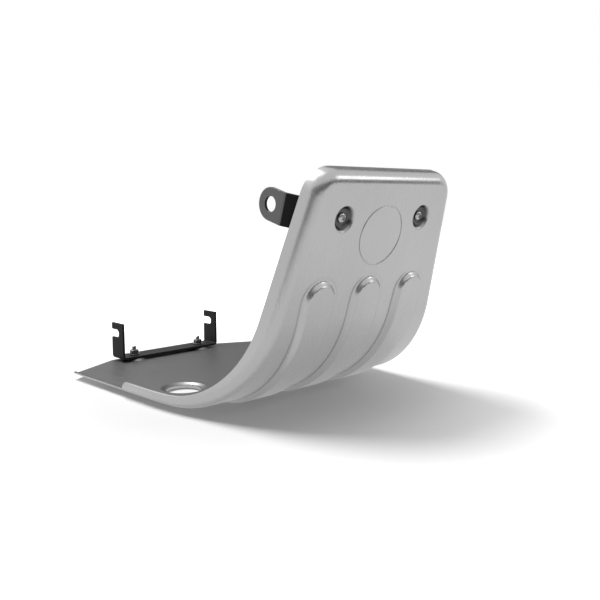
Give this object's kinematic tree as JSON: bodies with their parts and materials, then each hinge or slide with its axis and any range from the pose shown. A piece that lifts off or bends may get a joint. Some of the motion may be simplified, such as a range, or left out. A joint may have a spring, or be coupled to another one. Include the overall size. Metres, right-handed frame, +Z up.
{
  "type": "motorcycle skid plate",
  "caption": "Pressed aluminium skid plate for a motorcycle: ribbed front curving into the floor, black steel mounting brackets, recessed bolts and a drain opening.",
  "frame": {"origin": "middle of the underside of the whole part's bounding box", "axes": "+Z up, +Y to the rear of the motorcycle, X across it; the front panel stands at -Y and the drain opening is at -X"},
  "size_m": [0.316, 0.4134, 0.2544],
  "materials": {
    "shell_aluminium": "satin",
    "black_steel": "semi-matte",
    "bolt_steel": "satin",
    "dark_steel": "satin"
  },
  "bodies": {
    "root": {"skid_plate": "shell_aluminium", "front_bar": "black_steel", "front_ear_plate_left": "black_steel", "front_ear_plate_right": "black_steel", "rear_bracket": "black_steel", "front_bolt_left": "bolt_steel", "front_bolt_right": "bolt_steel", "front_washer_left": "dark_steel", "front_washer_right": "dark_steel", "front_nut_left": "dark_steel", "front_nut_right": "dark_steel", "rear_bolt_left": "bolt_steel", "rear_bolt_right": "bolt_steel", "rear_washer_left": "dark_steel", "rear_washer_right": "dark_steel", "rear_nut_left": "dark_steel", "rear_nut_right": "dark_steel"}
  },
  "joints": []
}
